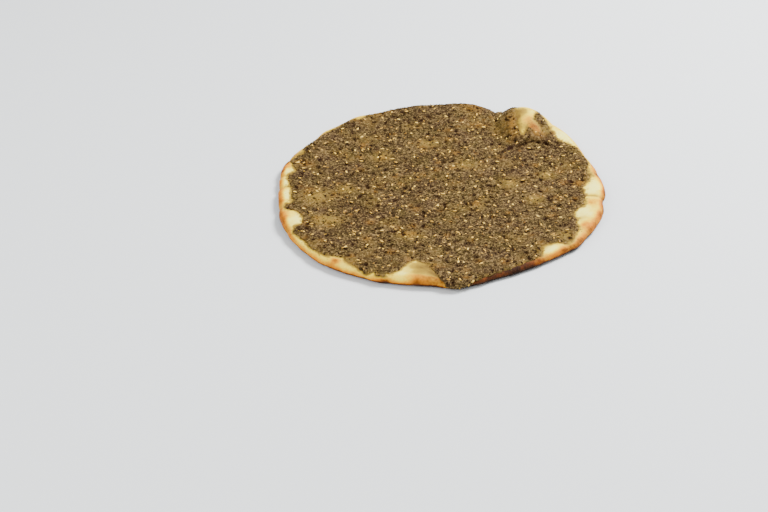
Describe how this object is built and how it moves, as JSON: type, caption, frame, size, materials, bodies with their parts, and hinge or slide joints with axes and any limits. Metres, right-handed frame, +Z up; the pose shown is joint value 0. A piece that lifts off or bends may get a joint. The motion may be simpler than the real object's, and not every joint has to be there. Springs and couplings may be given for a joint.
{
  "type": "za'atar manakish flatbread",
  "caption": "Round flat bread with an uneven outline, a low puffed rim, a raised blister at its edge and a thin herb and sesame topping.",
  "frame": {"origin": "middle of the bread's box, on the flat underside that it rests on", "axes": "+Z up out of the topping, +Y towards the back edge, where the blister is right of the middle, +X to the right"},
  "size_m": [0.2519, 0.2664, 0.0185],
  "materials": {
    "baked_dough": null,
    "zaatar_topping": null
  },
  "bodies": {
    "root": {"flatbread": "baked_dough", "zaatar_topping": "zaatar_topping"}
  },
  "joints": []
}
